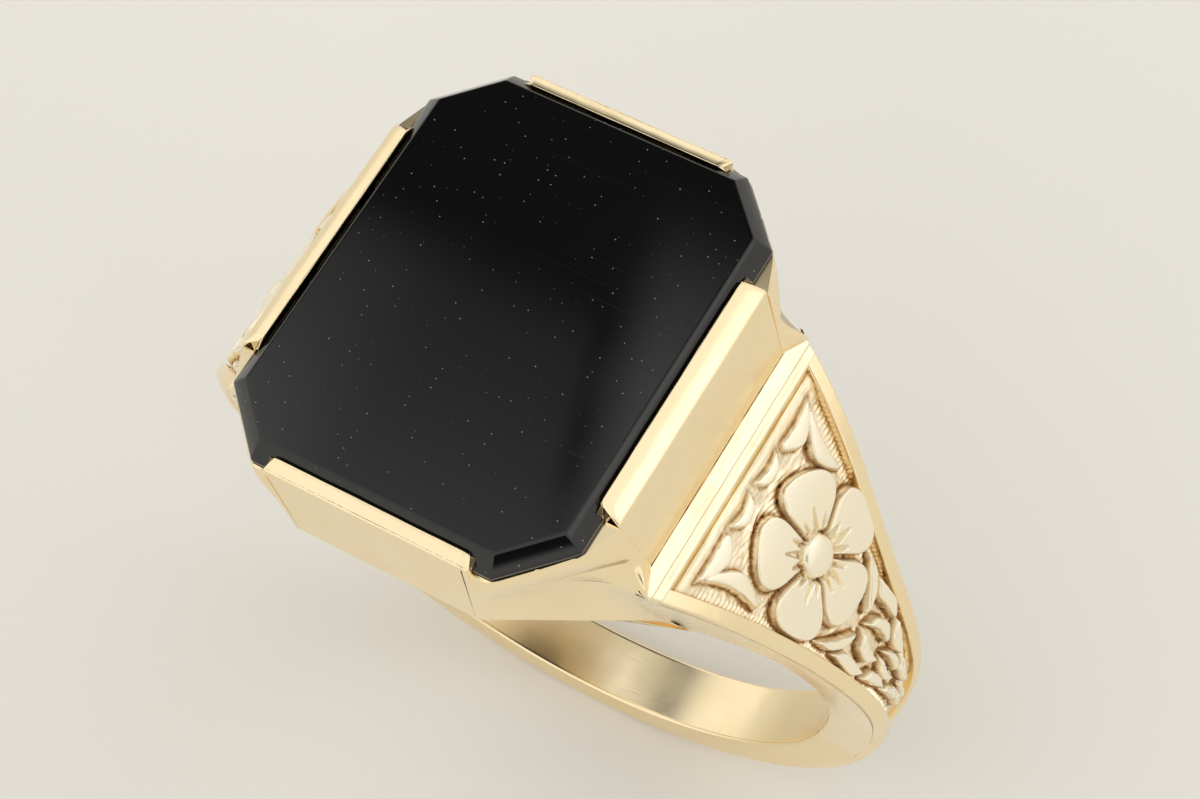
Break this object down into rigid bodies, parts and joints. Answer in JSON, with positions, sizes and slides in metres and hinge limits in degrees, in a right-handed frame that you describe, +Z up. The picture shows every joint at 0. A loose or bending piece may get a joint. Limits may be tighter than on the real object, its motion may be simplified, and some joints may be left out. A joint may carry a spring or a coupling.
{
  "type": "signet ring",
  "caption": "Gold signet ring with a bevelled black onyx tablet in an open-cornered octagonal setting, carved flower shoulders and a plain band.",
  "frame": {"origin": "centre of the finger hole", "axes": "+Y along the finger, +Z up through the stone's table, +X across the shoulders"},
  "size_m": [0.0238, 0.0142, 0.0257],
  "materials": {
    "onyx": "polished black onyx",
    "polished_gold": "mirror-polished 14 karat yellow gold",
    "chased_gold": "matted and darkened 14 karat gold ground with polished sides"
  },
  "bodies": {
    "root": {"onyx_tablet": "onyx", "stone_seat": "polished_gold", "shank_band": "polished_gold", "bezel_plate_front": "polished_gold", "bezel_plate_back": "polished_gold", "bezel_plate_left": "polished_gold", "bezel_plate_right": "polished_gold", "corner_panel_front_left": "polished_gold", "corner_panel_front_right": "polished_gold", "corner_panel_back_left": "polished_gold", "corner_panel_back_right": "polished_gold", "shoulder_bar_left": "polished_gold", "shoulder_rail_front_left": "polished_gold", "shoulder_rail_back_left": "polished_gold", "flower_left": "polished_gold", "scroll_leaves_left": "polished_gold", "shoulder_bar_right": "polished_gold", "shoulder_rail_front_right": "polished_gold", "shoulder_rail_back_right": "polished_gold", "flower_right": "polished_gold", "scroll_leaves_right": "polished_gold", "shoulder_plate_left": "chased_gold", "shoulder_plate_right": "chased_gold"}
  },
  "joints": []
}
